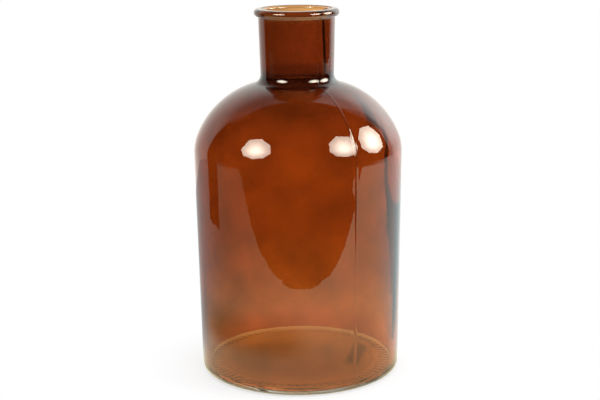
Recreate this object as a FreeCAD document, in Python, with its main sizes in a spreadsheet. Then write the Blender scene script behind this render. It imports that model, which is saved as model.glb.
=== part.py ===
import FreeCAD, Part
import math
import os
import Sketcher

# Amber apothecary bottle, in millimetres. Z is the axis of the bottle, the floor
# is at Z = 0 and the front faces -Y. A blown vessel of clear glass carries a
# sprayed film of amber lacquer on its outside.

SIZES = [
    ("overall_height", 247.0, "floor to the top of the glass lip"),
    ("body_radius", 70.0, "outside, at the top of the side wall"),
    ("foot_radius", 67.6, "outside, at the bottom of the side wall"),
    ("shoulder_height", 151.4, "where the side wall turns into the shoulder"),
    ("corner_radius", 32.2, "outside arc that starts the shoulder"),
    ("corner_angle", 23.4, "degrees that the corner arc turns through"),
    ("crown_radius", 58.5, "flatter arc that carries on to the neck"),
    ("root_fillet", 6.4, "hollow curve between the shoulder and the neck"),
    ("neck_root_radius", 24.4, "outside of the neck at its root"),
    ("neck_top_radius", 25.4, "outside of the neck under the lip"),
    ("lip_radius", 28.2, "outside of the rolled lip"),
    ("lip_top_round", 2.3, "upper half of the rolled lip"),
    ("lip_under_round", 2.5, "lower half of the rolled lip"),
    ("lip_fillet", 0.8, "hollow curve between the lip and the neck"),
    ("bore_radius", 21.9, "inside of the neck"),
    ("mouth_round", 1.5, "inner edge of the mouth"),
    ("inner_root_round", 8.0, "inside, where the neck opens into the shoulder"),
    ("wall", 3.4, "glass of the side wall and the shoulder"),
    ("base_thickness", 6.0, "glass of the base"),
    ("inner_heel_round", 3.0, "inside, where the wall meets the base"),
    ("heel_round", 4.0, "outside, where the wall meets the floor"),
    ("push_up", 4.0, "rise of the hollow under the base"),
    ("bearing_inner_radius", 52.0, "inner edge of the ring that the bottle stands on"),
    ("knurl_inner_radius", 56.5, "where the notches in the standing ring start"),
    ("knurl_width", 2.6, "one notch, across"),
    ("knurl_depth", 0.5, "one notch, from the floor up"),
    ("knurl_count", 72, "notches around the standing ring"),
    ("seam_angle", 121.9, "degrees from +X to the mould seam at the back left"),
    ("seam_count", 2, "mould seams around the bottle"),
    ("seam_width", 0.7, "mould seam, across"),
    ("seam_height", 0.25, "mould seam, proud of the glass"),
    ("seam_root", 1.0, "how far the seam is sunk into the wall to fuse with it"),
    ("film_thickness", 0.2, "sprayed film"),
    ("film_gap", 0.3, "bare wall between the heel and the foot of the film"),
    ("bond_line", 0.1, "clearance between the glass and the inside of the film"),
]

doc = FreeCAD.newDocument("bottle")


def add_sheet():
    """Write the driving sizes: name, value and meaning, one row each."""
    rows = doc.addObject("Spreadsheet::Sheet", "Sizes")
    for number, (alias, value, words) in enumerate(SIZES, start=1):
        rows.set(f"A{number}", alias)
        rows.set(f"B{number}", str(value))
        rows.setAlias(f"B{number}", alias)
        rows.set(f"C{number}", words)
    doc.recompute()
    return rows


sheet = add_sheet()


class Size:
    """A length that carries both its value and the formula it comes from."""

    def __init__(self, value, formula):
        self.value = value
        self.formula = formula

    def __add__(self, other):
        return Size(self.value + other.value, f"({self.formula} + {other.formula})")

    def __sub__(self, other):
        return Size(self.value - other.value, f"({self.formula} - {other.formula})")

    def __mul__(self, other):
        return Size(self.value * other.value, f"({self.formula} * {other.formula})")

    def __truediv__(self, other):
        return Size(self.value / other.value, f"({self.formula} / {other.formula})")

    def root(self):
        return Size(math.sqrt(self.value), f"sqrt({self.formula})")

    def cos(self):
        return Size(math.cos(math.radians(self.value)), f"cos({self.formula} * 1deg)")

    def sin(self):
        return Size(math.sin(math.radians(self.value)), f"sin({self.formula} * 1deg)")


def size(alias):
    return Size(float(sheet.get(alias)), f"Sizes.{alias}")


NIL = Size(0.0, "0")
HALF = Size(0.5, "0.5")

height = size("overall_height")
body = size("body_radius")
foot = size("foot_radius")
shoulder = size("shoulder_height")
corner = size("corner_radius")
corner_turn = size("corner_angle")
crown = size("crown_radius")
heel = size("heel_round")
wall = size("wall")
bore = size("bore_radius")
neck_top = size("neck_top_radius")
lip = size("lip_radius")
lip_over = size("lip_top_round")
lip_under = size("lip_under_round")
film = size("film_thickness")
seam_proud = size("seam_height")

# Centres of the shoulder arcs, as radius and height. The crown arc leaves the
# corner arc without a kink, so its centre lies on the line through their joint.
corner_at = (body - corner, shoulder)
crown_at = (
    corner_at[0] - (crown - corner) * corner_turn.cos(),
    corner_at[1] - (crown - corner) * corner_turn.sin(),
)
lip_at = (lip - lip_under, height - lip_over)


class Blend:
    """A round that touches an arc and the line straight up at a given radius."""

    def __init__(self, centre, arc, fillet, middle_radius, below=False):
        reach = arc + fillet
        aside = middle_radius - centre[0]
        rise = (reach * reach - aside * aside).root()
        self.centre = centre
        self.reach = reach
        self.aside = aside
        self.rise = NIL - rise if below else rise
        self.height = centre[1] + self.rise

    def touch(self, arc):
        """Where the round meets the arc of this radius around the same centre."""
        share = arc / self.reach
        return self.centre[0] + self.aside * share, self.centre[1] + self.rise * share


neck_root = size("neck_root_radius")
root_fillet = size("root_fillet")
root = Blend(crown_at, crown, root_fillet, neck_root + root_fillet)
lip_fillet = size("lip_fillet")
under_lip = Blend(lip_at, lip_under, lip_fillet, neck_top + lip_fillet, below=True)

# A station is a name, a radius, a height, and the way to the next station:
# straight on, or an arc of a given radius that bends left (1) or right (-1).
STRAIGHT = (None, 0)


def corner_end(arc):
    """Where the corner arc of this radius runs into the crown arc."""
    return corner_at[0] + arc * corner_turn.cos(), corner_at[1] + arc * corner_turn.sin()


def side_stations(grow, start):
    """The outside from a start on the side wall to the neck under the lip."""
    return [
        ("start", start[0] + grow, start[1], *STRAIGHT),
        ("shoulder", body + grow, shoulder, corner + grow, 1),
        ("corner_end", *corner_end(corner + grow), crown + grow, 1),
        ("crown_end", *root.touch(crown + grow), root_fillet - grow, -1),
        ("neck_root", neck_root + grow, root.height, *STRAIGHT),
        ("neck_top", neck_top + grow, under_lip.height, lip_fillet - grow, -1),
    ]


def lip_stations(grow):
    """The outside of the rolled lip, from the neck up to the top."""
    return [
        ("lip_low", *under_lip.touch(lip_under + grow), lip_under + grow, 1),
        ("lip_side", lip + grow, height - lip_over, lip_over + grow, 1),
        ("lip_top", lip - lip_over, height + grow, *STRAIGHT),
    ]


def there_and_back(outer, inner):
    """Close an outer run of stations by an inner run walked the other way."""
    path = [("out_" + name, *rest) for name, *rest in outer]
    path[-1] = (*path[-1][:3], *STRAIGHT)
    turned = inner[::-1]
    ways = [(radius, -bend) for _, _, _, radius, bend in turned[1:]] + [STRAIGHT]
    path += [("in_" + s[0], s[1], s[2], *way) for s, way in zip(turned, ways)]
    return path


def plane_of(solid, role):
    return next(f for f in solid.Origin.OriginFeatures if f.Role == role)


def draw(solid, name, role, stations):
    """Draw a closed outline whose every corner and radius follows its formula."""
    sketch = solid.newObject("Sketcher::SketchObject", name)
    sketch.AttachmentSupport = [(plane_of(solid, role), "")]
    sketch.MapMode = "FlatFace"
    ends = []
    for index, (_, across, up, radius, bend) in enumerate(stations):
        after = stations[(index + 1) % len(stations)]
        start = FreeCAD.Vector(across.value, up.value, 0)
        end = FreeCAD.Vector(after[1].value, after[2].value, 0)
        if radius is None:
            sketch.addGeometry(Part.LineSegment(start, end), False)
            ends.append((1, 2))
            continue
        chord = end - start
        left = FreeCAD.Vector(-chord.y, chord.x, 0).normalize()
        offset = math.sqrt(max(radius.value ** 2 - (chord.Length / 2) ** 2, 0.0))
        centre = (start + end) * 0.5 + left * (offset * bend)
        first, last = (start, end) if bend > 0 else (end, start)
        circle = Part.Circle(centre, FreeCAD.Vector(0, 0, 1), radius.value)
        sketch.addGeometry(Part.ArcOfCircle(circle, circle.parameter(first), circle.parameter(last)), False)
        ends.append((1, 2) if bend > 0 else (2, 1))
    for index in range(len(stations)):
        after = (index + 1) % len(stations)
        sketch.addConstraint(Sketcher.Constraint("Coincident", index, ends[index][1], after, ends[after][0]))
    for index, (label, across, up, radius, _) in enumerate(stations):
        point = (index, ends[index][0])
        hold(sketch, "DistanceX", point, -2, across, label + "_across")
        hold(sketch, "DistanceY", point, -1, up, label + "_up")
        if radius is not None:
            bind(sketch, Sketcher.Constraint("Radius", index, radius.value), radius, label + "_arc")
    doc.recompute()
    return sketch


def hold(sketch, kind, point, axis, measure, label):
    """Hold one coordinate of a point, on the axis itself where it is nil."""
    if measure is NIL:
        sketch.addConstraint(Sketcher.Constraint("PointOnObject", *point, axis))
        return
    bind(sketch, Sketcher.Constraint(kind, -1, 1, *point, measure.value), measure, label)


def bind(sketch, constraint, measure, label):
    index = sketch.addConstraint(constraint)
    sketch.renameConstraint(index, label)
    sketch.setExpression("Constraints." + label, measure.formula)


def spin(solid, kind, name, sketch, width=None):
    """Turn an outline about the bottle's axis, all round or over a narrow width."""
    feature = solid.newObject("PartDesign::" + kind, name)
    feature.Profile = sketch
    feature.ReferenceAxis = (sketch, ["V_Axis"])
    feature.Angle = 360
    if width is not None:
        feature.Midplane = True
        feature.setExpression("Angle", f"{width.formula} / {body.formula} * 180 / pi")
    doc.recompute()
    return feature


def repeat(solid, name, originals, sketch, axis, count):
    """Repeat features at equal steps all round the bottle."""
    pattern = solid.newObject("PartDesign::PolarPattern", name)
    pattern.Originals = originals
    pattern.Axis = (sketch, [axis])
    pattern.Angle = 360
    pattern.setExpression("Occurrences", count.formula)
    solid.Tip = pattern
    doc.recompute()
    return pattern


def draw_seam(solid, name, outer_grow, inner_grow, start):
    """Draw a band along the side in the plane of the mould's parting line."""
    outer = side_stations(outer_grow, start)
    inner = side_stations(inner_grow, start)
    sketch = draw(solid, name, "XZ_Plane", there_and_back(outer, inner))
    about_axis = FreeCAD.Rotation(FreeCAD.Vector(0, 1, 0), 1)
    sketch.AttachmentOffset = FreeCAD.Placement(FreeCAD.Vector(), about_axis)
    sketch.setExpression("AttachmentOffset.Rotation.Angle", "Sizes.seam_angle")
    doc.recompute()
    return sketch


# Glass vessel: blown in a two-part mould, with a rolled lip, a tapered neck,
# round shoulders, a hollow base and a notched ring to stand on.
glass = doc.addObject("PartDesign::Body", "glass_bottle")
glass.Label = "glass_bottle"

push_up = size("push_up")
bearing = size("bearing_inner_radius")
dome = (bearing * bearing + push_up * push_up) / (push_up + push_up)
wall_foot = (foot, heel)
outside = [
    ("base_middle", NIL, push_up, dome, -1),
    ("bearing", bearing, NIL, *STRAIGHT),
    ("heel", foot - heel, NIL, heel, 1),
    *side_stations(NIL, wall_foot),
    *lip_stations(NIL),
    ("axis_top", NIL, height, *STRAIGHT),
]
spin(glass, "Revolution", "vessel_blank", draw(glass, "outside_outline", "XZ_Plane", outside))

# Cavity: the same arcs one wall further in, a straight bore through the neck
# and a domed floor over the hollow base.
base = size("base_thickness")
mouth = size("mouth_round")
inner_heel = size("inner_heel_round")
inner_root = size("inner_root_round")
floor_arc = dome + base
floor_blend = Blend((NIL, push_up - dome), floor_arc, inner_heel, foot - wall - inner_heel)
bore_blend = Blend(crown_at, crown - wall, inner_root, bore + inner_root)
cavity = [
    ("floor_middle", NIL, push_up + base, floor_arc, -1),
    ("floor_edge", *floor_blend.touch(floor_arc), inner_heel, 1),
    ("wall_low", foot - wall, floor_blend.height, *STRAIGHT),
    ("wall_top", body - wall, shoulder, corner - wall, 1),
    ("inner_corner_end", *corner_end(corner - wall), crown - wall, 1),
    ("inner_crown_end", *bore_blend.touch(crown - wall), inner_root, -1),
    ("bore_low", bore, bore_blend.height, *STRAIGHT),
    ("bore_top", bore, height - mouth, mouth, -1),
    ("mouth", bore + mouth, height, *STRAIGHT),
    ("axis_mouth", NIL, height, *STRAIGHT),
]
spin(glass, "Groove", "cavity", draw(glass, "cavity_outline", "XZ_Plane", cavity))

# Mould seams: a fine ridge up each side where the two halves of the mould met.
seam_width = size("seam_width")
seam_count = size("seam_count")
ridge_outline = draw_seam(glass, "seam_outline", seam_proud, NIL - size("seam_root"), wall_foot)
ridge = spin(glass, "Revolution", "seam_ridge", ridge_outline, seam_width)
repeat(glass, "seam_ridges", [ridge], ridge_outline, "V_Axis", seam_count)

# Notches across the standing ring, open at the heel and closed towards the middle.
notch_half = size("knurl_width") * HALF
notch_from = size("knurl_inner_radius")
notch_outline = draw(glass, "notch_outline", "XY_Plane", [
    ("inner_right", notch_from, NIL - notch_half, *STRAIGHT),
    ("outer_right", foot, NIL - notch_half, *STRAIGHT),
    ("outer_left", foot, notch_half, *STRAIGHT),
    ("inner_left", notch_from, notch_half, *STRAIGHT),
])
notch = glass.newObject("PartDesign::Pocket", "notch")
notch.Profile = notch_outline
notch.Reversed = True
notch.setExpression("Length", "Sizes.knurl_depth")
doc.recompute()
repeat(glass, "notches", [notch], notch_outline, "N_Axis", size("knurl_count"))

# Amber film: sprayed over the outside from just above the heel to the mouth.
# It follows the glass and its seams, one thin bond line away from them.
coat = doc.addObject("PartDesign::Body", "amber_coat")
coat.Label = "amber_coat"

gap = size("film_gap")
bond = size("bond_line")
layers = bond + film
film_foot = (foot + (body - foot) * gap / (shoulder - heel), heel + gap)
rim = bore + mouth


def film_stations(grow):
    top = ("rim", rim, height + grow, *STRAIGHT)
    return [*side_stations(grow, film_foot), *lip_stations(grow), top]


film_section = there_and_back(film_stations(layers), film_stations(bond))
film_outline = draw(coat, "film_outline", "XZ_Plane", film_section)
spin(coat, "Revolution", "film", film_outline)
over_outline = draw_seam(coat, "over_seam_outline", seam_proud + layers, bond, film_foot)
over = spin(coat, "Revolution", "over_seam", over_outline, seam_width + layers + layers)
under_outline = draw_seam(coat, "under_seam_outline", seam_proud + bond, NIL - film, film_foot)
under = spin(coat, "Groove", "under_seam", under_outline, seam_width + bond + bond)
repeat(coat, "seam_cover", [over, under], over_outline, "V_Axis", seam_count)

doc.recompute()
for item in doc.Objects:
    if "Invalid" in item.State or "Error" in item.State:
        raise RuntimeError(f"{item.Label} did not rebuild: {item.State}")

os.makedirs("parts", exist_ok=True)
for node in (glass, coat):
    shape = node.Shape
    if shape.isNull() or not shape.isValid() or len(shape.Solids) != 1:
        raise RuntimeError(f"{node.Label} is not one sound solid")
    shape.exportStep(f"parts/{node.Label}.step")
    print(node.Label, "volume in mm3:", round(shape.Volume, 1))
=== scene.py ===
import math

import bmesh
import bpy
from mathutils import Matrix, Vector


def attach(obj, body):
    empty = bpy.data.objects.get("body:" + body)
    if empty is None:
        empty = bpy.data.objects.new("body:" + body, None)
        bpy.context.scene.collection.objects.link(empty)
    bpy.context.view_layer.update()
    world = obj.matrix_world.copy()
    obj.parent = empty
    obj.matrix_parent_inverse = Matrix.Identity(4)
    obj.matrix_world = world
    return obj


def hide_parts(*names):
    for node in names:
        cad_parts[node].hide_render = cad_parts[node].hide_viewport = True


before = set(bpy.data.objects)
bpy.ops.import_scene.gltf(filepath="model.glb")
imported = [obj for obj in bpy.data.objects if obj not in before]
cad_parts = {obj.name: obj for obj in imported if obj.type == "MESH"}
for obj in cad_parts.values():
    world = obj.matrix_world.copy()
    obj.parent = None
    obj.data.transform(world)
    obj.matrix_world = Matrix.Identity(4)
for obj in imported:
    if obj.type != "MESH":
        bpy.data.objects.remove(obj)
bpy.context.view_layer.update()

# Glass vessel: one piece of clear recycled glass, blown in a two-part mould.
# It has a rolled lip, a straight bore, round shoulders, a hollow base and a
# notched ring to stand on. Half a section is drawn in millimetres and turned.
height = 247.0
wall = 3.4
foot = 67.6
heel = 4.0
heel_at = (foot - heel, heel)
body = 70.0
shoulder = 151.4
corner = 32.2
corner_at = (body - corner, shoulder)
corner_turn = 23.4
crown = 58.5
root = 6.4
neck_root = 24.4
neck_top = 25.4
lip = 28.2
lip_under = 2.5
lip_over = 2.3
lip_under_at = (lip - lip_under, height - lip_over)
lip_over_at = (lip - lip_over, height - lip_over)
lip_fillet = 0.8
bore = 21.9
mouth = 1.5
inner_root = 8.0
inner_heel = 3.0
base = 6.0
push_up = 4.0
bearing_from = 52.0
notch_from = 56.5
notch_deep = 0.5
notches = 72
film_gap = 0.3
film_from = heel + film_gap
seam_turn = 121.9
seam_half = 0.35
seam_proud = 0.12
around = 288
notch_every = around // notches
side_steps = 24
corner_steps = 12
crown_steps = 26
root_steps = 14
slack = 1e-3
weld = 1e-4
sharp_from = 25


def straight(bm, tip, end, steps=1):
    """Draw a straight run of the section on from its tip to another point."""
    start = tip.co.copy()
    target = Vector((end[0], 0.0, end[1]))
    for step in range(1, steps + 1):
        tip = bmesh.ops.extrude_vert_indiv(bm, verts=[tip])["verts"][0]
        tip.co = start.lerp(target, step / steps)
    return tip


def swing(bm, tip, centre, degrees, steps):
    """Draw a curved run of the section by swinging its tip round a centre."""
    made = bmesh.ops.spin(
        bm, geom=[tip], cent=(centre[0], 0.0, centre[1]), axis=(0, -1, 0),
        angle=math.radians(degrees), steps=steps,
    )
    return made["geom_last"][0]


def bearing(a, b):
    """Direction from one point of the section to another, in degrees."""
    return math.degrees(math.atan2(b[1] - a[1], b[0] - a[0]))


def lean(low, low_round, high, high_round):
    """Lean of a wall that runs smoothly from one round into another, in degrees."""
    spread = math.degrees(math.acos((low_round - high_round) / math.dist(low, high)))
    return spread - bearing(low, high)


def on_round(centre, radius, degrees):
    """Point of a round in a direction from its centre."""
    turn = math.radians(degrees)
    return centre[0] + radius * math.cos(turn), centre[1] + radius * math.sin(turn)


def round_on(centre, radius, across, way=1):
    """Centre of a round this far from the axis whose own centre is this far from another."""
    return across, centre[1] + way * math.sqrt(radius ** 2 - (across - centre[0]) ** 2)


crown_at = on_round(corner_at, corner - crown, corner_turn)
root_at = round_on(crown_at, crown + root, neck_root + root)
under_at = round_on(lip_under_at, lip_under + lip_fillet, neck_top + lip_fillet, -1)
wall_lean = lean(heel_at, heel, corner_at, corner)
neck_lean = lean(root_at, -root, under_at, -lip_fillet)


def draw_side(bm, tip, grow):
    """Draw the outside from the foot of the film to the neck under the lip."""
    tip = straight(bm, tip, on_round(corner_at, corner + grow, -wall_lean), side_steps)
    tip = swing(bm, tip, corner_at, corner_turn + wall_lean, corner_steps)
    crown_end = bearing(crown_at, root_at)
    tip = swing(bm, tip, crown_at, crown_end - corner_turn, crown_steps)
    tip = swing(bm, tip, root_at, -crown_end - neck_lean, root_steps)
    return straight(bm, tip, on_round(under_at, lip_fillet - grow, 180 - neck_lean), steps=12)


def draw_lip(bm, tip, grow):
    """Draw the outside of the rolled lip from the neck to the edge of the mouth."""
    hollow = 180 - bearing(under_at, lip_under_at)
    tip = swing(bm, tip, under_at, neck_lean - hollow, steps=7)
    tip = swing(bm, tip, lip_under_at, hollow, steps=10)
    tip = swing(bm, tip, lip_over_at, 90, steps=10)
    return straight(bm, tip, (bore + mouth, height + grow), steps=2)


def turn_round(bm):
    """Turn a finished section about the bottle's axis into a closed skin."""
    bmesh.ops.spin(
        bm, geom=bm.verts[:] + bm.edges[:], cent=(0, 0, 0), axis=(0, 0, 1),
        angle=2 * math.pi, steps=around, use_merge=True,
    )
    bmesh.ops.remove_doubles(bm, verts=bm.verts[:], dist=weld)
    bmesh.ops.recalc_face_normals(bm, faces=bm.faces[:])


def raise_seams(bm, part, skin):
    """Raise a fine ridge along a skin where the halves of the mould met."""
    parting = [e for e in bm.edges if all(v[part] == skin and abs(v.co.y) < slack for v in e.verts)]
    made = bmesh.ops.bevel(
        bm, geom=parting, offset=seam_half, offset_type="OFFSET", segments=2, profile=0.5,
        affect="EDGES", material=-1,
    )
    bm.normal_update()
    middle = Vector((0, 0, shoulder))
    for v in made["verts"]:
        if abs(v.co.y) < slack:
            out = Vector((v.normal.x, 0.0, v.normal.z)).normalized()
            v.co += out * math.copysign(seam_proud, out.dot(v.co - middle))


def turn_about(bm, degrees, axis):
    """Turn a mesh about an axis through the origin."""
    turn = Matrix.Rotation(math.radians(degrees), 3, axis)
    bmesh.ops.rotate(bm, verts=bm.verts[:], cent=(0, 0, 0), matrix=turn)


def make_piece(bm, name, *materials):
    """Turn a mesh drawn in millimetres to its place and make it a piece in metres."""
    turn_about(bm, seam_turn, "Z")
    bmesh.ops.scale(bm, verts=bm.verts[:], vec=(0.001, 0.001, 0.001))
    mesh = bpy.data.meshes.new(name)
    bm.to_mesh(mesh)
    bm.free()
    for material in materials:
        mesh.materials.append(material)
    mesh.shade_smooth()
    mesh.set_sharp_from_angle(angle=math.radians(sharp_from))
    piece = bpy.data.objects.new(name, mesh)
    bpy.context.scene.collection.objects.link(piece)
    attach(piece, "root")
    return piece


bare, side, rim = 0, 1, 2
bm = bmesh.new()
part = bm.verts.layers.int.new("part")
dome = (bearing_from ** 2 + push_up ** 2) / (2 * push_up)
dome_at = (0.0, push_up - dome)
tip = bm.verts.new((0.0, 0.0, push_up))
tip = swing(bm, tip, dome_at, -math.degrees(math.asin(bearing_from / dome)), steps=12)
tip = straight(bm, tip, (notch_from, 0.0), steps=2)
tip = straight(bm, tip, (heel_at[0], 0.0), steps=3)
notch_turn = math.degrees(math.acos(1 - notch_deep / heel))
tip = swing(bm, tip, heel_at, notch_turn, steps=4)
tip = swing(bm, tip, heel_at, 90 - wall_lean - notch_turn, steps=7)
film_foot = tip.co.x + (film_from - tip.co.z) * math.tan(math.radians(wall_lean))
tip = straight(bm, tip, (film_foot, film_from))
tip[part] = side
under_lip = draw_side(bm, tip, 0.0)
under_lip[part] = rim
mouth_edge = draw_lip(bm, under_lip, 0.0)
under_lip[part] = side
mouth_edge[part] = bare
tip = swing(bm, mouth_edge, (bore + mouth, height - mouth), 90, steps=8)
inner_root_at = round_on(crown_at, crown - wall + inner_root, bore + inner_root)
tip = straight(bm, tip, (bore, inner_root_at[1]), steps=8)
inner_end = bearing(crown_at, inner_root_at)
tip = swing(bm, tip, inner_root_at, inner_end, root_steps)
tip = swing(bm, tip, crown_at, corner_turn - inner_end, crown_steps)
inner_heel_at = round_on(dome_at, dome + base + inner_heel, foot - wall - inner_heel)
inner_lean = lean(inner_heel_at, inner_heel, corner_at, corner - wall)
tip = swing(bm, tip, corner_at, -corner_turn - inner_lean, corner_steps)
tip = straight(bm, tip, on_round(inner_heel_at, inner_heel, -inner_lean), side_steps)
tip = swing(bm, tip, inner_heel_at, bearing(inner_heel_at, dome_at) + inner_lean, steps=12)
tip = swing(bm, tip, dome_at, 90 - bearing(dome_at, inner_heel_at), steps=14)
tip.co.x = 0.0
mouth_edge[part] = rim
turn_round(bm)
for face in bm.faces:
    face.material_index = int(all(v[part] in (side, rim) for v in face.verts))
raise_seams(bm, part, side)

# Every fourth line across the ring is lifted, which leaves notches with sloping sides.
for v in bm.verts:
    step = round(math.degrees(math.atan2(v.co.y, v.co.x)) / 360 * around)
    on_ring = v.co.z < notch_deep and v.co.xy.length > notch_from - slack
    if on_ring and step % notch_every == 1:
        v.co.z = notch_deep
bmesh.ops.recalc_face_normals(bm, faces=bm.faces[:])


def glassy_material(name):
    """Start a material that light passes through, and return its node tree and shader too."""
    material = bpy.data.materials.new(name)
    material.use_nodes = True
    shader = material.node_tree.nodes["Principled BSDF"]
    shader.inputs["Transmission Weight"].default_value = 1.0
    shader.inputs["IOR"].default_value = 1.5
    return material, material.node_tree, shader


def bare_material(name):
    """Start a material without a shader, and return its node tree too."""
    material = bpy.data.materials.new(name)
    material.use_nodes = True
    tree = material.node_tree
    tree.nodes.remove(tree.nodes["Principled BSDF"])
    return material, tree


def show(tree, shader):
    """Make a shader the surface of its material."""
    tree.links.new(shader.outputs[0], tree.nodes["Material Output"].inputs["Surface"])


def place_of(tree, space="Object"):
    """Where a point lies."""
    return tree.nodes.new("ShaderNodeTexCoord").outputs[space]


def axes_of(tree, place):
    """Take a place apart into X, Y and Z."""
    axes = tree.nodes.new("ShaderNodeSeparateXYZ")
    tree.links.new(place, axes.inputs["Vector"])
    return axes.outputs


def reach_of(tree, place):
    """How far a place is from the middle of the bottle's foot."""
    reach = tree.nodes.new("ShaderNodeVectorMath")
    reach.operation = "LENGTH"
    tree.links.new(place, reach.inputs[0])
    return reach.outputs["Value"]


def between(tree, value, span, levels):
    """Change smoothly from one level to another over a span of a value."""
    change = tree.nodes.new("ShaderNodeMapRange")
    change.interpolation_type = "SMOOTHSTEP"
    for socket, number in zip(("From Min", "From Max", "To Min", "To Max"), span + levels):
        change.inputs[socket].default_value = number
    tree.links.new(value, change.inputs["Value"])
    return change.outputs["Result"]


def combine(tree, operation, a, b):
    """Work out a value from another value and a value or a number."""
    node = tree.nodes.new("ShaderNodeMath")
    node.operation = operation
    tree.links.new(a, node.inputs[0])
    if isinstance(b, float):
        node.inputs[1].default_value = b
    else:
        tree.links.new(b, node.inputs[1])
    return node.outputs["Value"]


def product(tree, value, *others):
    """Multiply values together."""
    for other in others:
        value = combine(tree, "MULTIPLY", value, other)
    return value


def choose(tree, kind, factor, a, b):
    """Take the second of two values or colours as far as a factor says."""
    node = tree.nodes.new("ShaderNodeMix")
    node.data_type = kind
    first, second = [i for i in node.inputs if i.enabled and i.name in ("A", "B")]
    tree.links.new(factor, next(i for i in node.inputs if i.enabled and i.name == "Factor"))
    for socket, value in ((first, a), (second, b)):
        if isinstance(value, (float, tuple)):
            socket.default_value = value
        else:
            tree.links.new(value, socket)
    return next(o for o in node.outputs if o.enabled)


grey_green = (0.90, 0.93, 0.89, 1)
painted_heel_shade = (0.22, 0.21, 0.17, 1)
matt_foot = 0.04
clear_glass, tree, shader = glassy_material("clear_glass")
place = place_of(tree)
axes = axes_of(tree, place)
matt = between(tree, axes["Z"], (0.0036, 0.0046), (matt_foot, 0.0))
tree.links.new(matt, shader.inputs["Roughness"])
# Painted shade: the clear heel strip is olive and darker on its front half than at the back.
painted_shade_front_of_heel = product(
    tree,
    between(tree, reach_of(tree, place), (0.062, 0.064), (0.0, 1.0)),
    between(tree, axes["Z"], (0.0042, 0.0046), (1.0, 0.0)),
    between(tree, axes["Y"], (-0.03, 0.03), (1.0, 0.0)),
)
tree.links.new(choose(tree, "RGBA", painted_shade_front_of_heel, grey_green, painted_heel_shade), shader.inputs["Base Color"])

# Where the film clings to the glass, light passes with no reflection.
bonded_face, tree = bare_material("bonded_face")
show(tree, tree.nodes.new("ShaderNodeBsdfTransparent"))

vessel = make_piece(bm, "glass_vessel", clear_glass, bonded_face)
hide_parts("glass_bottle")

# Amber film: a transparent lacquer sprayed over the outside, from just above
# the heel to the edge of the mouth. It clings to the glass and follows its seams.
# It is paler low on the body than at the neck. The neck's tint holds painted shade in dark bands at its
# root and under the lip, and painted highlight in pale lines at the lip.
bond = 0.1
film = 0.2
inside, outside = 1, 2
bm = bmesh.new()
part = bm.verts.layers.int.new("part")
ends = []
for skin, grow in ((inside, bond), (outside, bond + film)):
    tip = bm.verts.new((film_foot + grow, 0.0, film_from))
    tip[part] = skin
    under_lip = draw_side(bm, tip, grow)
    under_lip[part] = -skin
    ends.append((tip, draw_lip(bm, under_lip, grow)))
    under_lip[part] = skin
for inner, outer in zip(*ends):
    bmesh.ops.contextual_create(bm, geom=[inner, outer])
turn_round(bm)
for face in bm.faces:
    face.material_index = int(all(abs(v[part]) == inside for v in face.verts))
raise_seams(bm, part, inside)
raise_seams(bm, part, outside)
bmesh.ops.recalc_face_normals(bm, faces=bm.faces[:])

amber, tree, shader = glassy_material("amber_lacquer")
shader.inputs["Roughness"].default_value = 0.0
place = place_of(tree)
axes = axes_of(tree, place)

# Each stop has its share of the height of the tint, and its colour.
tint_height = 0.2475
body_tint = (
    (0.02, (0.44, 0.095, 0.0135, 1)),
    (0.16, (0.44, 0.098, 0.012, 1)),
    (0.235, (0.38, 0.072, 0.0065, 1)),
    (0.32, (0.26, 0.0355, 0.0026, 1)),
    (0.42, (0.25, 0.0325, 0.0024, 1)),
    (0.60, (0.32, 0.0435, 0.0032, 1)),
    (0.667, (0.25, 0.032, 0.0026, 1)),
    (0.727, (0.19, 0.025, 0.0022, 1)),
    (0.775, (0.14, 0.018, 0.002, 1)),
)
# Front of the neck: the film's tint, with painted shade in the dark bands at the root and under the lip,
# and painted highlight in the pale lines of the lip.
front_neck_tint_painted_shade = (
    (0.787, (0.085, 0.011, 0.002, 1)),
    (0.7935, (0.062, 0.0075, 0.002, 1)),
    (0.797, (0.0055, 0.0007, 0.0005, 1)),
    (0.8015, (0.0055, 0.0007, 0.0005, 1)),
    (0.805, (0.015, 0.002, 0.001, 1)),
    (0.811, (0.014, 0.002, 0.001, 1)),
    (0.8145, (0.004, 0.0005, 0.0005, 1)),
    (0.820, (0.004, 0.0005, 0.0005, 1)),
    (0.825, (0.04, 0.005, 0.001, 1)),
    (0.832, (0.06, 0.0075, 0.002, 1)),
    (0.84, (0.16, 0.0205, 0.0027, 1)),
    (0.967, (0.16, 0.0205, 0.0027, 1)),
    (0.972, (0.20, 0.045, 0.009, 1)),
    (0.977, (0.11, 0.025, 0.005, 1)),
    (0.982, (0.02, 0.002, 0.0006, 1)),
    (0.986, (0.10, 0.018, 0.004, 1)),
    (0.991, (0.25, 0.06, 0.012, 1)),
)
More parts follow.
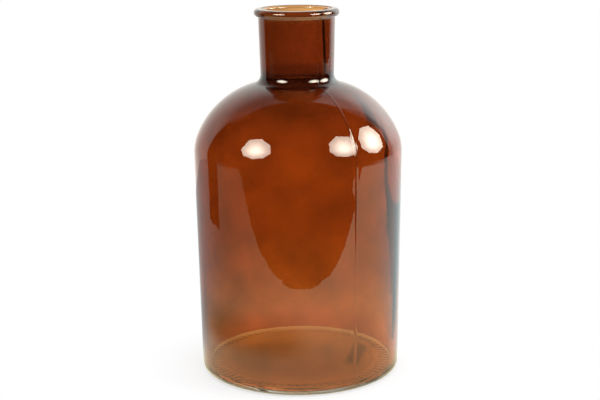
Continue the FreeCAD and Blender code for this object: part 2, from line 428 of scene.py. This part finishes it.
# Back of the neck: the film's tint, with painted shade in the dark band at the root; the pale line on the
# lip is partly thinner film and partly painted light.
back_neck_tint_painted_shade = (
    (0.79, (0.06, 0.008, 0.002, 1)),
    (0.833, (0.06, 0.008, 0.002, 1)),
    (0.85, (0.16, 0.0205, 0.0027, 1)),
    (0.955, (0.16, 0.0205, 0.0027, 1)),
    (0.972, (0.19, 0.0270, 0.004, 1)),
    (0.982, (0.60, 0.16, 0.02, 1)),
    (0.987, (0.60, 0.16, 0.02, 1)),
    (0.992, (0.10, 0.013, 0.003, 1)),
)
up = tree.nodes.new("ShaderNodeMapRange")
up.inputs["From Max"].default_value = tint_height
tree.links.new(axes["Z"], up.inputs["Value"])
tints = []
for neck_tint in (back_neck_tint_painted_shade, front_neck_tint_painted_shade):
    tint = tree.nodes.new("ShaderNodeValToRGB")
    stops = tint.color_ramp.elements
    stops.remove(stops[1])
    for share, colour in body_tint + neck_tint:
        stops.new(share).color = colour
    stops.remove(stops[0])
    tree.links.new(up.outputs["Result"], tint.inputs["Fac"])
    tints.append(tint.outputs["Color"])
# The painted shade and highlight differ between the front half and the back half of the neck.
front = between(tree, axes["Y"], (-0.006, 0.006), (1.0, 0.0))
tint_with_painted_shade = choose(tree, "RGBA", front, *tints)

# The spray is blotchy, and its skin has a fine ripple.
blotch_scale = 34.0
blotch_seed = 2.0
darkest = 0.2
palest = 1.8
ripple_scale = 130.0
ripple_deep = 0.00003
blotch = tree.nodes.new("ShaderNodeTexNoise")
blotch.noise_dimensions = "4D"
blotch.inputs["W"].default_value = blotch_seed
blotch.inputs["Scale"].default_value = blotch_scale
blotch.inputs["Detail"].default_value = 2.0
tree.links.new(place, blotch.inputs["Vector"])
depth = tree.nodes.new("ShaderNodeMapRange")
depth.inputs["To Min"].default_value = darkest
depth.inputs["To Max"].default_value = palest
tree.links.new(blotch.outputs["Fac"], depth.inputs["Value"])
uneven = tree.nodes.new("ShaderNodeVectorMath")
uneven.operation = "SCALE"
tree.links.new(tint_with_painted_shade, uneven.inputs["Vector"])
tree.links.new(depth.outputs["Result"], uneven.inputs["Scale"])
tree.links.new(uneven.outputs["Vector"], shader.inputs["Base Color"])
ripple = tree.nodes.new("ShaderNodeTexNoise")
ripple.inputs["Scale"].default_value = ripple_scale
ripple.inputs["Detail"].default_value = 2.0
tree.links.new(place, ripple.inputs["Vector"])
waves = tree.nodes.new("ShaderNodeBump")
waves.inputs["Distance"].default_value = ripple_deep
tree.links.new(ripple.outputs["Fac"], waves.inputs["Height"])
tree.links.new(waves.outputs["Normal"], shader.inputs["Normal"])

coat = make_piece(bm, "amber_film", amber, bonded_face)
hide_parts("amber_coat")


# Floor of the studio: white paper that the bottle stands on, with a small tab at
# its front edge. It has one level for the eye, one where it is seen through the
# glass and one where it is mirrored, and these are set for the camera's view.
def make_stage(bm, name, material, hidden_from=""):
    """Make a stage object and say which rays pass it by."""
    mesh = bpy.data.meshes.new(name)
    bm.to_mesh(mesh)
    bm.free()
    mesh.materials.append(material)
    thing = bpy.data.objects.new(name, mesh)
    bpy.context.scene.collection.objects.link(thing)
    for ray in hidden_from.split():
        setattr(thing, "visible_" + ray, False)


def cut_sheet(width, depth):
    """Cut a flat sheet that lies about the origin."""
    bm = bmesh.new()
    bmesh.ops.create_grid(bm, x_segments=1, y_segments=1, size=0.5)
    bmesh.ops.scale(bm, verts=bm.verts[:], vec=(width, depth, 1.0))
    return bm


def look_rays(tree):
    """Tell apart rays of the eye, rays through the glass and rays off it, before they light a thing."""
    path = tree.nodes.new("ShaderNodeLightPath").outputs
    first = between(tree, path["Diffuse Depth"], (0.4, 0.6), (1.0, 0.0))
    off = combine(tree, "SUBTRACT", path["Is Glossy Ray"], path["Is Transmission Ray"])
    off = combine(tree, "MAXIMUM", off, 0.0)
    return {
        "eye": path["Is Camera Ray"],
        "through": product(tree, path["Is Transmission Ray"], first),
        "mirrored": product(tree, off, first),
        "first": first,
    }


white = (1, 1, 1, 1)
black = (0, 0, 0, 1)
amber_light = (1.0, 0.54, 0.22, 1)
amber_shade = (1.0, 0.7, 0.35, 1)
warm_front = (1.0, 0.93, 0.64, 1)
cool_back = (0.88, 1, 1, 1)
grey_paper = (0.4, 0.4, 0.4, 1)
grey_to_eye = (0.46, 0.46, 0.46, 1)
paper, tree = bare_material("floor_paper")
rays = look_rays(tree)
place = place_of(tree)
axes = axes_of(tree, place)
reach = reach_of(tree, place)
far = between(tree, reach, (0.07, 0.15), (0.0, 1.0))

# Seen through the glass it is dim under the base and in the bottle's own shade.
under_base = between(tree, reach, (0.025, 0.065), (0.22, 0.52))
dim_left = between(tree, axes["X"], (-0.30, 0.0), (0.6, 1.0))
seen_through = choose(tree, "FLOAT", far, under_base, dim_left)
own_shade = between(tree, axes["X"], (-0.076, -0.036), (0.34, 1.0))
past_shade = between(tree, axes["Y"], (0.08, 0.26), (0.0, 1.0))
own_shade = choose(tree, "FLOAT", past_shade, own_shade, 1.0)
seen_through = product(tree, seen_through, own_shade)
seen_by_eye = choose(tree, "FLOAT", far, 0.62, 1.0)
seen = choose(tree, "FLOAT", rays["eye"], seen_through, seen_by_eye)
tinge = choose(tree, "RGBA", far, amber_light, white)
tinge = choose(tree, "RGBA", rays["eye"], tinge, white)

# Mirrored it is brighter at the right, with an amber shade before the bottle at the left.
round_back = combine(tree, "DIVIDE", axes["Y"], reach)
behind = between(tree, round_back, (-0.2, 0.6), (0.0, 1.0))
in_front = between(tree, round_back, (-0.2, 0.6), (1.0, 0.0))
shaded_by = product(
    tree,
    between(tree, reach, (0.12, 0.16), (0.0, 1.0)),
    between(tree, reach, (0.16, 0.24), (1.0, 0.0)),
    between(tree, axes["X"], (-0.05, 0.04), (1.0, 0.1)),
    in_front,
)
close_by = product(tree, in_front, between(tree, reach, (0.12, 0.16), (1.0, 0.0)))
far_off = product(tree, in_front, between(tree, reach, (0.70, 0.90), (0.0, 1.0)))
level_in_front = between(tree, axes["X"], (-0.55, 0.2), (0.55, 1.8))
level_behind = between(tree, axes["X"], (-0.2, 0.2), (0.6, 1.3))
level = choose(tree, "FLOAT", behind, level_in_front, level_behind)
level = choose(tree, "FLOAT", close_by, level, 1.3)
level = choose(tree, "FLOAT", shaded_by, level, 0.7)
level = choose(tree, "FLOAT", far_off, level, 0.1)
glow = choose(tree, "RGBA", behind, warm_front, cool_back)
glow = choose(tree, "RGBA", shaded_by, glow, amber_shade)

# Close to the bottle it is also lit by the lamp, so that it keeps the bottle's shadow.
emit = tree.nodes.new("ShaderNodeEmission")
tree.links.new(choose(tree, "RGBA", rays["mirrored"], tinge, glow), emit.inputs["Color"])
strength = choose(tree, "FLOAT", rays["mirrored"], seen, level)
tree.links.new(product(tree, strength, rays["first"]), emit.inputs["Strength"])
lit = choose(tree, "RGBA", rays["eye"], grey_paper, grey_to_eye)
lit = choose(tree, "RGBA", far, lit, black)
lit = choose(tree, "RGBA", rays["mirrored"], lit, black)
diffuse = tree.nodes.new("ShaderNodeBsdfDiffuse")
tree.links.new(lit, diffuse.inputs["Color"])
both = tree.nodes.new("ShaderNodeAddShader")
tree.links.new(emit.outputs["Emission"], both.inputs[0])
tree.links.new(diffuse.outputs["BSDF"], both.inputs[1])
show(tree, both)

paper_width = 2.7
paper_shift = -0.05
paper_slant = 2.9
paper_under = -0.0001
near_end = -1.6
front_edge = -0.286
wall_foot = 0.55
for name, near, back, hidden in (
    ("paper_floor", front_edge, wall_foot, ""),
    ("paper_front", near_end, front_edge, "glossy"),
):
    bm = cut_sheet(paper_width, back - near)
    bmesh.ops.translate(bm, verts=bm.verts[:], vec=(paper_shift, (back + near) / 2, paper_under))
    turn_about(bm, paper_slant, "Z")
    make_stage(bm, name, paper, hidden)

tab_size = (0.055, 0.04, 1.0)
tab_at = (0.54, front_edge, 0.0002)
bm = bmesh.new()
bmesh.ops.create_circle(bm, segments=24, radius=1.0, cap_ends=True)
bmesh.ops.scale(bm, verts=bm.verts[:], vec=tab_size)
bmesh.ops.translate(bm, verts=bm.verts[:], vec=tab_at)
make_stage(bm, "paper_tab", paper, "camera diffuse transmission shadow")

# Wall of the studio: the same paper, going up behind the bottle. The eye passes it
# by: it is mirrored in the bottle, brightest at the right, and seen through it,
# with two soft dark patches at the right.
warm_white = (1.0, 0.98, 0.92, 1)
cool_white = (0.93, 1.0, 0.98, 1)
wall_paper, tree = bare_material("wall_paper")
rays = look_rays(tree)
axes = axes_of(tree, place_of(tree))
right = between(tree, axes["X"], (0.1, 0.4), (0.0, 1.0))
low_right = product(tree, right, between(tree, axes["Z"], (0.08, 0.42), (1.0, 0.0)))
level = product(
    tree,
    between(tree, axes["X"], (-0.65, -0.1), (0.92, 1.28)),
    between(tree, axes["X"], (0.1, 0.5), (1.0, 1.9)),
    between(tree, axes["X"], (-1.4, -0.9), (0.4, 1.0)),
    between(tree, axes["X"], (0.75, 1.05), (1.0, 0.4)),
    between(tree, axes["Z"], (0.5, 1.1), (1.0, 0.35)),
    between(tree, low_right, (0.0, 1.0), (1.0, 0.62)),
)
upper = between(tree, axes["Z"], (0.10, 0.14), (0.0, 1.0))
seen_low = between(tree, axes["X"], (-0.30, 0.0), (0.6, 1.0))
seen_high = between(tree, axes["X"], (-0.12, 0.06), (0.6, 1.15))
seen_through = choose(tree, "FLOAT", upper, seen_low, seen_high)
patch_level = 0.02
for patch_across, patch_up, soft in (
    ((0.152, 0.18), (-0.02, 0.13), 0.008),
    ((0.105, 0.155), (0.10, 0.30), 0.012),
):
    edges = []
    for axis, (start, end) in (("X", patch_across), ("Z", patch_up)):
        edges.append(between(tree, axes[axis], (start, start + soft), (0.0, 1.0)))
        edges.append(between(tree, axes[axis], (end - soft, end), (1.0, 0.0)))
    seen_through = choose(tree, "FLOAT", product(tree, *edges), seen_through, patch_level)
cool = product(tree, right, rays["mirrored"])
emit = tree.nodes.new("ShaderNodeEmission")
tree.links.new(choose(tree, "RGBA", cool, warm_white, cool_white), emit.inputs["Color"])
tree.links.new(choose(tree, "FLOAT", rays["mirrored"], seen_through, level), emit.inputs["Strength"])
show(tree, emit)
wall_height = 1.85
bm = cut_sheet(paper_width, wall_height)
turn_about(bm, 90, "X")
bmesh.ops.translate(bm, verts=bm.verts[:], vec=(paper_shift, wall_foot, wall_height / 2))
turn_about(bm, paper_slant, "Z")
make_stage(bm, "paper_wall", wall_paper, "camera diffuse shadow")

# Dark things of the studio: a dark sheet that lies on the paper behind the bottle at the right
# and is only seen through it, and a black card at the left that is only mirrored.
dark_level = 0.01
black_card, tree = bare_material("black_card")
emit = tree.nodes.new("ShaderNodeEmission")
emit.inputs["Strength"].default_value = dark_level
show(tree, emit)
dark_sheet_up = 0.0005
dark_sheet_corners = (
    (0.1, 0.03), (0.12, 0.14), (0.137, 0.28), (0.139, 0.375), (0.153, 0.44), (0.156, 0.555),
    (0.185, 0.555), (0.21, 0.46), (0.3, 0.41), (0.5, 0.25), (0.3, -0.02),
)
bm = bmesh.new()
bmesh.ops.contextual_create(bm, geom=[bm.verts.new((x, y, dark_sheet_up)) for x, y in dark_sheet_corners])
make_stage(bm, "dark_floor_sheet", black_card, "camera diffuse glossy shadow")
card_width = 0.14
card_height = 0.5
card_at = (-0.44, 0.09, 0.25)
bm = cut_sheet(card_width, card_height)
turn_about(bm, 90, "X")
turn_about(bm, 90, "Z")
bmesh.ops.translate(bm, verts=bm.verts[:], vec=card_at)
make_stage(bm, "black_card_left", black_card, "camera diffuse transmission shadow")

# Umbrellas of the studio: three big white ones with eight sides, which face the
# bottle and are brightest in the middle. They show only where they are mirrored.
lamp_white = (1.0, 0.89, 0.74, 1)
rim_level = 11.0
middle_level = 30.0
umbrella_radius = 0.42
umbrella_away = 1.4
umbrella_aim = Vector((0, 0, 0.14))
umbrella, tree = bare_material("umbrella_white")
rays = look_rays(tree)
middle = tree.nodes.new("ShaderNodeAttribute")
middle.attribute_name = "middle"
emit = tree.nodes.new("ShaderNodeEmission")
emit.inputs["Color"].default_value = lamp_white
level = between(tree, middle.outputs["Fac"], (0.0, 1.0), (rim_level, middle_level))
tree.links.new(product(tree, level, rays["first"]), emit.inputs["Strength"])
show(tree, emit)
for name, round_by, up_by in (
    ("umbrella_left", -50, 27.5),
    ("umbrella_right", 55, 28.5),
    ("umbrella_side", 94.5, 22),
):
    bm = bmesh.new()
    in_middle = bm.verts.layers.float.new("middle")
    bmesh.ops.create_circle(bm, segments=8, radius=umbrella_radius, cap_ends=True, cap_tris=True)
    for v in bm.verts:
        v[in_middle] = float(v.co.length < umbrella_radius / 2)
    azimuth = math.radians(round_by)
    rise = math.radians(up_by)
    way = Vector((math.sin(azimuth) * math.cos(rise), -math.cos(azimuth) * math.cos(rise), math.sin(rise)))
    facing = (-way).to_track_quat("-Z", "Y").to_matrix().to_4x4()
    stand = Matrix.Translation(way * umbrella_away + umbrella_aim)
    bmesh.ops.transform(bm, verts=bm.verts[:], matrix=stand @ facing)
    make_stage(bm, name, umbrella, "camera diffuse transmission shadow")

# Lamp and room: a soft lamp at the right gives the shadow on the paper. The room is
# white to the eye and in the light it gives. Seen through the glass it grows dark
# higher up, and where it is mirrored it is dark all round.
key = bpy.data.lights.new("key", "AREA")
key.size = 0.9
key.energy = 6.0
key_lamp = bpy.data.objects.new("key", key)
key_lamp.location = (1.2, -0.2, 0.9)
key_aim = Vector((0, 0, 0.1))
key_lamp.rotation_euler = (key_aim - key_lamp.location).to_track_quat("-Z", "Y").to_euler()
key_lamp.visible_glossy = False
key_lamp.visible_transmission = False
bpy.context.scene.collection.objects.link(key_lamp)
dark_room = 0.02
world = bpy.data.worlds.new("studio")
bpy.context.scene.world = world
world.use_nodes = True
tree = world.node_tree
rays = look_rays(tree)
axes = axes_of(tree, place_of(tree, "Generated"))
dusk = between(tree, axes["Z"], (0.12, 0.45), (0.9, 0.03))
level = choose(tree, "FLOAT", rays["through"], 1.0, dusk)
level = choose(tree, "FLOAT", rays["mirrored"], level, dark_room)
level = choose(tree, "FLOAT", rays["eye"], level, 1.0)
tree.links.new(level, tree.nodes["Background"].inputs["Strength"])
tree.nodes["Background"].inputs["Color"].default_value = white

# Camera: a long lens a little above the bottle, as the photo was taken. It looks
# down by 13 degrees and is turned very slightly on its own axis.
pitch = 0.2282
roll = -0.0111
yaw = 0.001
stands_at = (0.0, -0.91924, 0.33028)
look = Vector((math.sin(yaw) * math.cos(pitch), math.cos(yaw) * math.cos(pitch), -math.sin(pitch)))
across = Vector((math.cos(yaw), -math.sin(yaw), 0.0))
above = across.cross(look)
turned_across = across * math.cos(roll) + above * math.sin(roll)
turned_above = above * math.cos(roll) - across * math.sin(roll)
camera_turn = Matrix((turned_across, turned_above, -look)).transposed().to_4x4()
lens = bpy.data.cameras.new("camera")
lens.sensor_width = 36.0
lens.lens = 82.87
camera = bpy.data.objects.new("camera", lens)
camera.matrix_world = Matrix.Translation(stands_at) @ camera_turn
bpy.context.scene.collection.objects.link(camera)
bpy.context.scene.camera = camera

# Light crosses many faces of glass and film on its way through the bottle.
scene = bpy.context.scene
scene.view_settings.view_transform = "Standard"
scene.cycles.max_bounces = 32
scene.cycles.transmission_bounces = 32
scene.cycles.glossy_bounces = 16
scene.cycles.transparent_max_bounces = 64
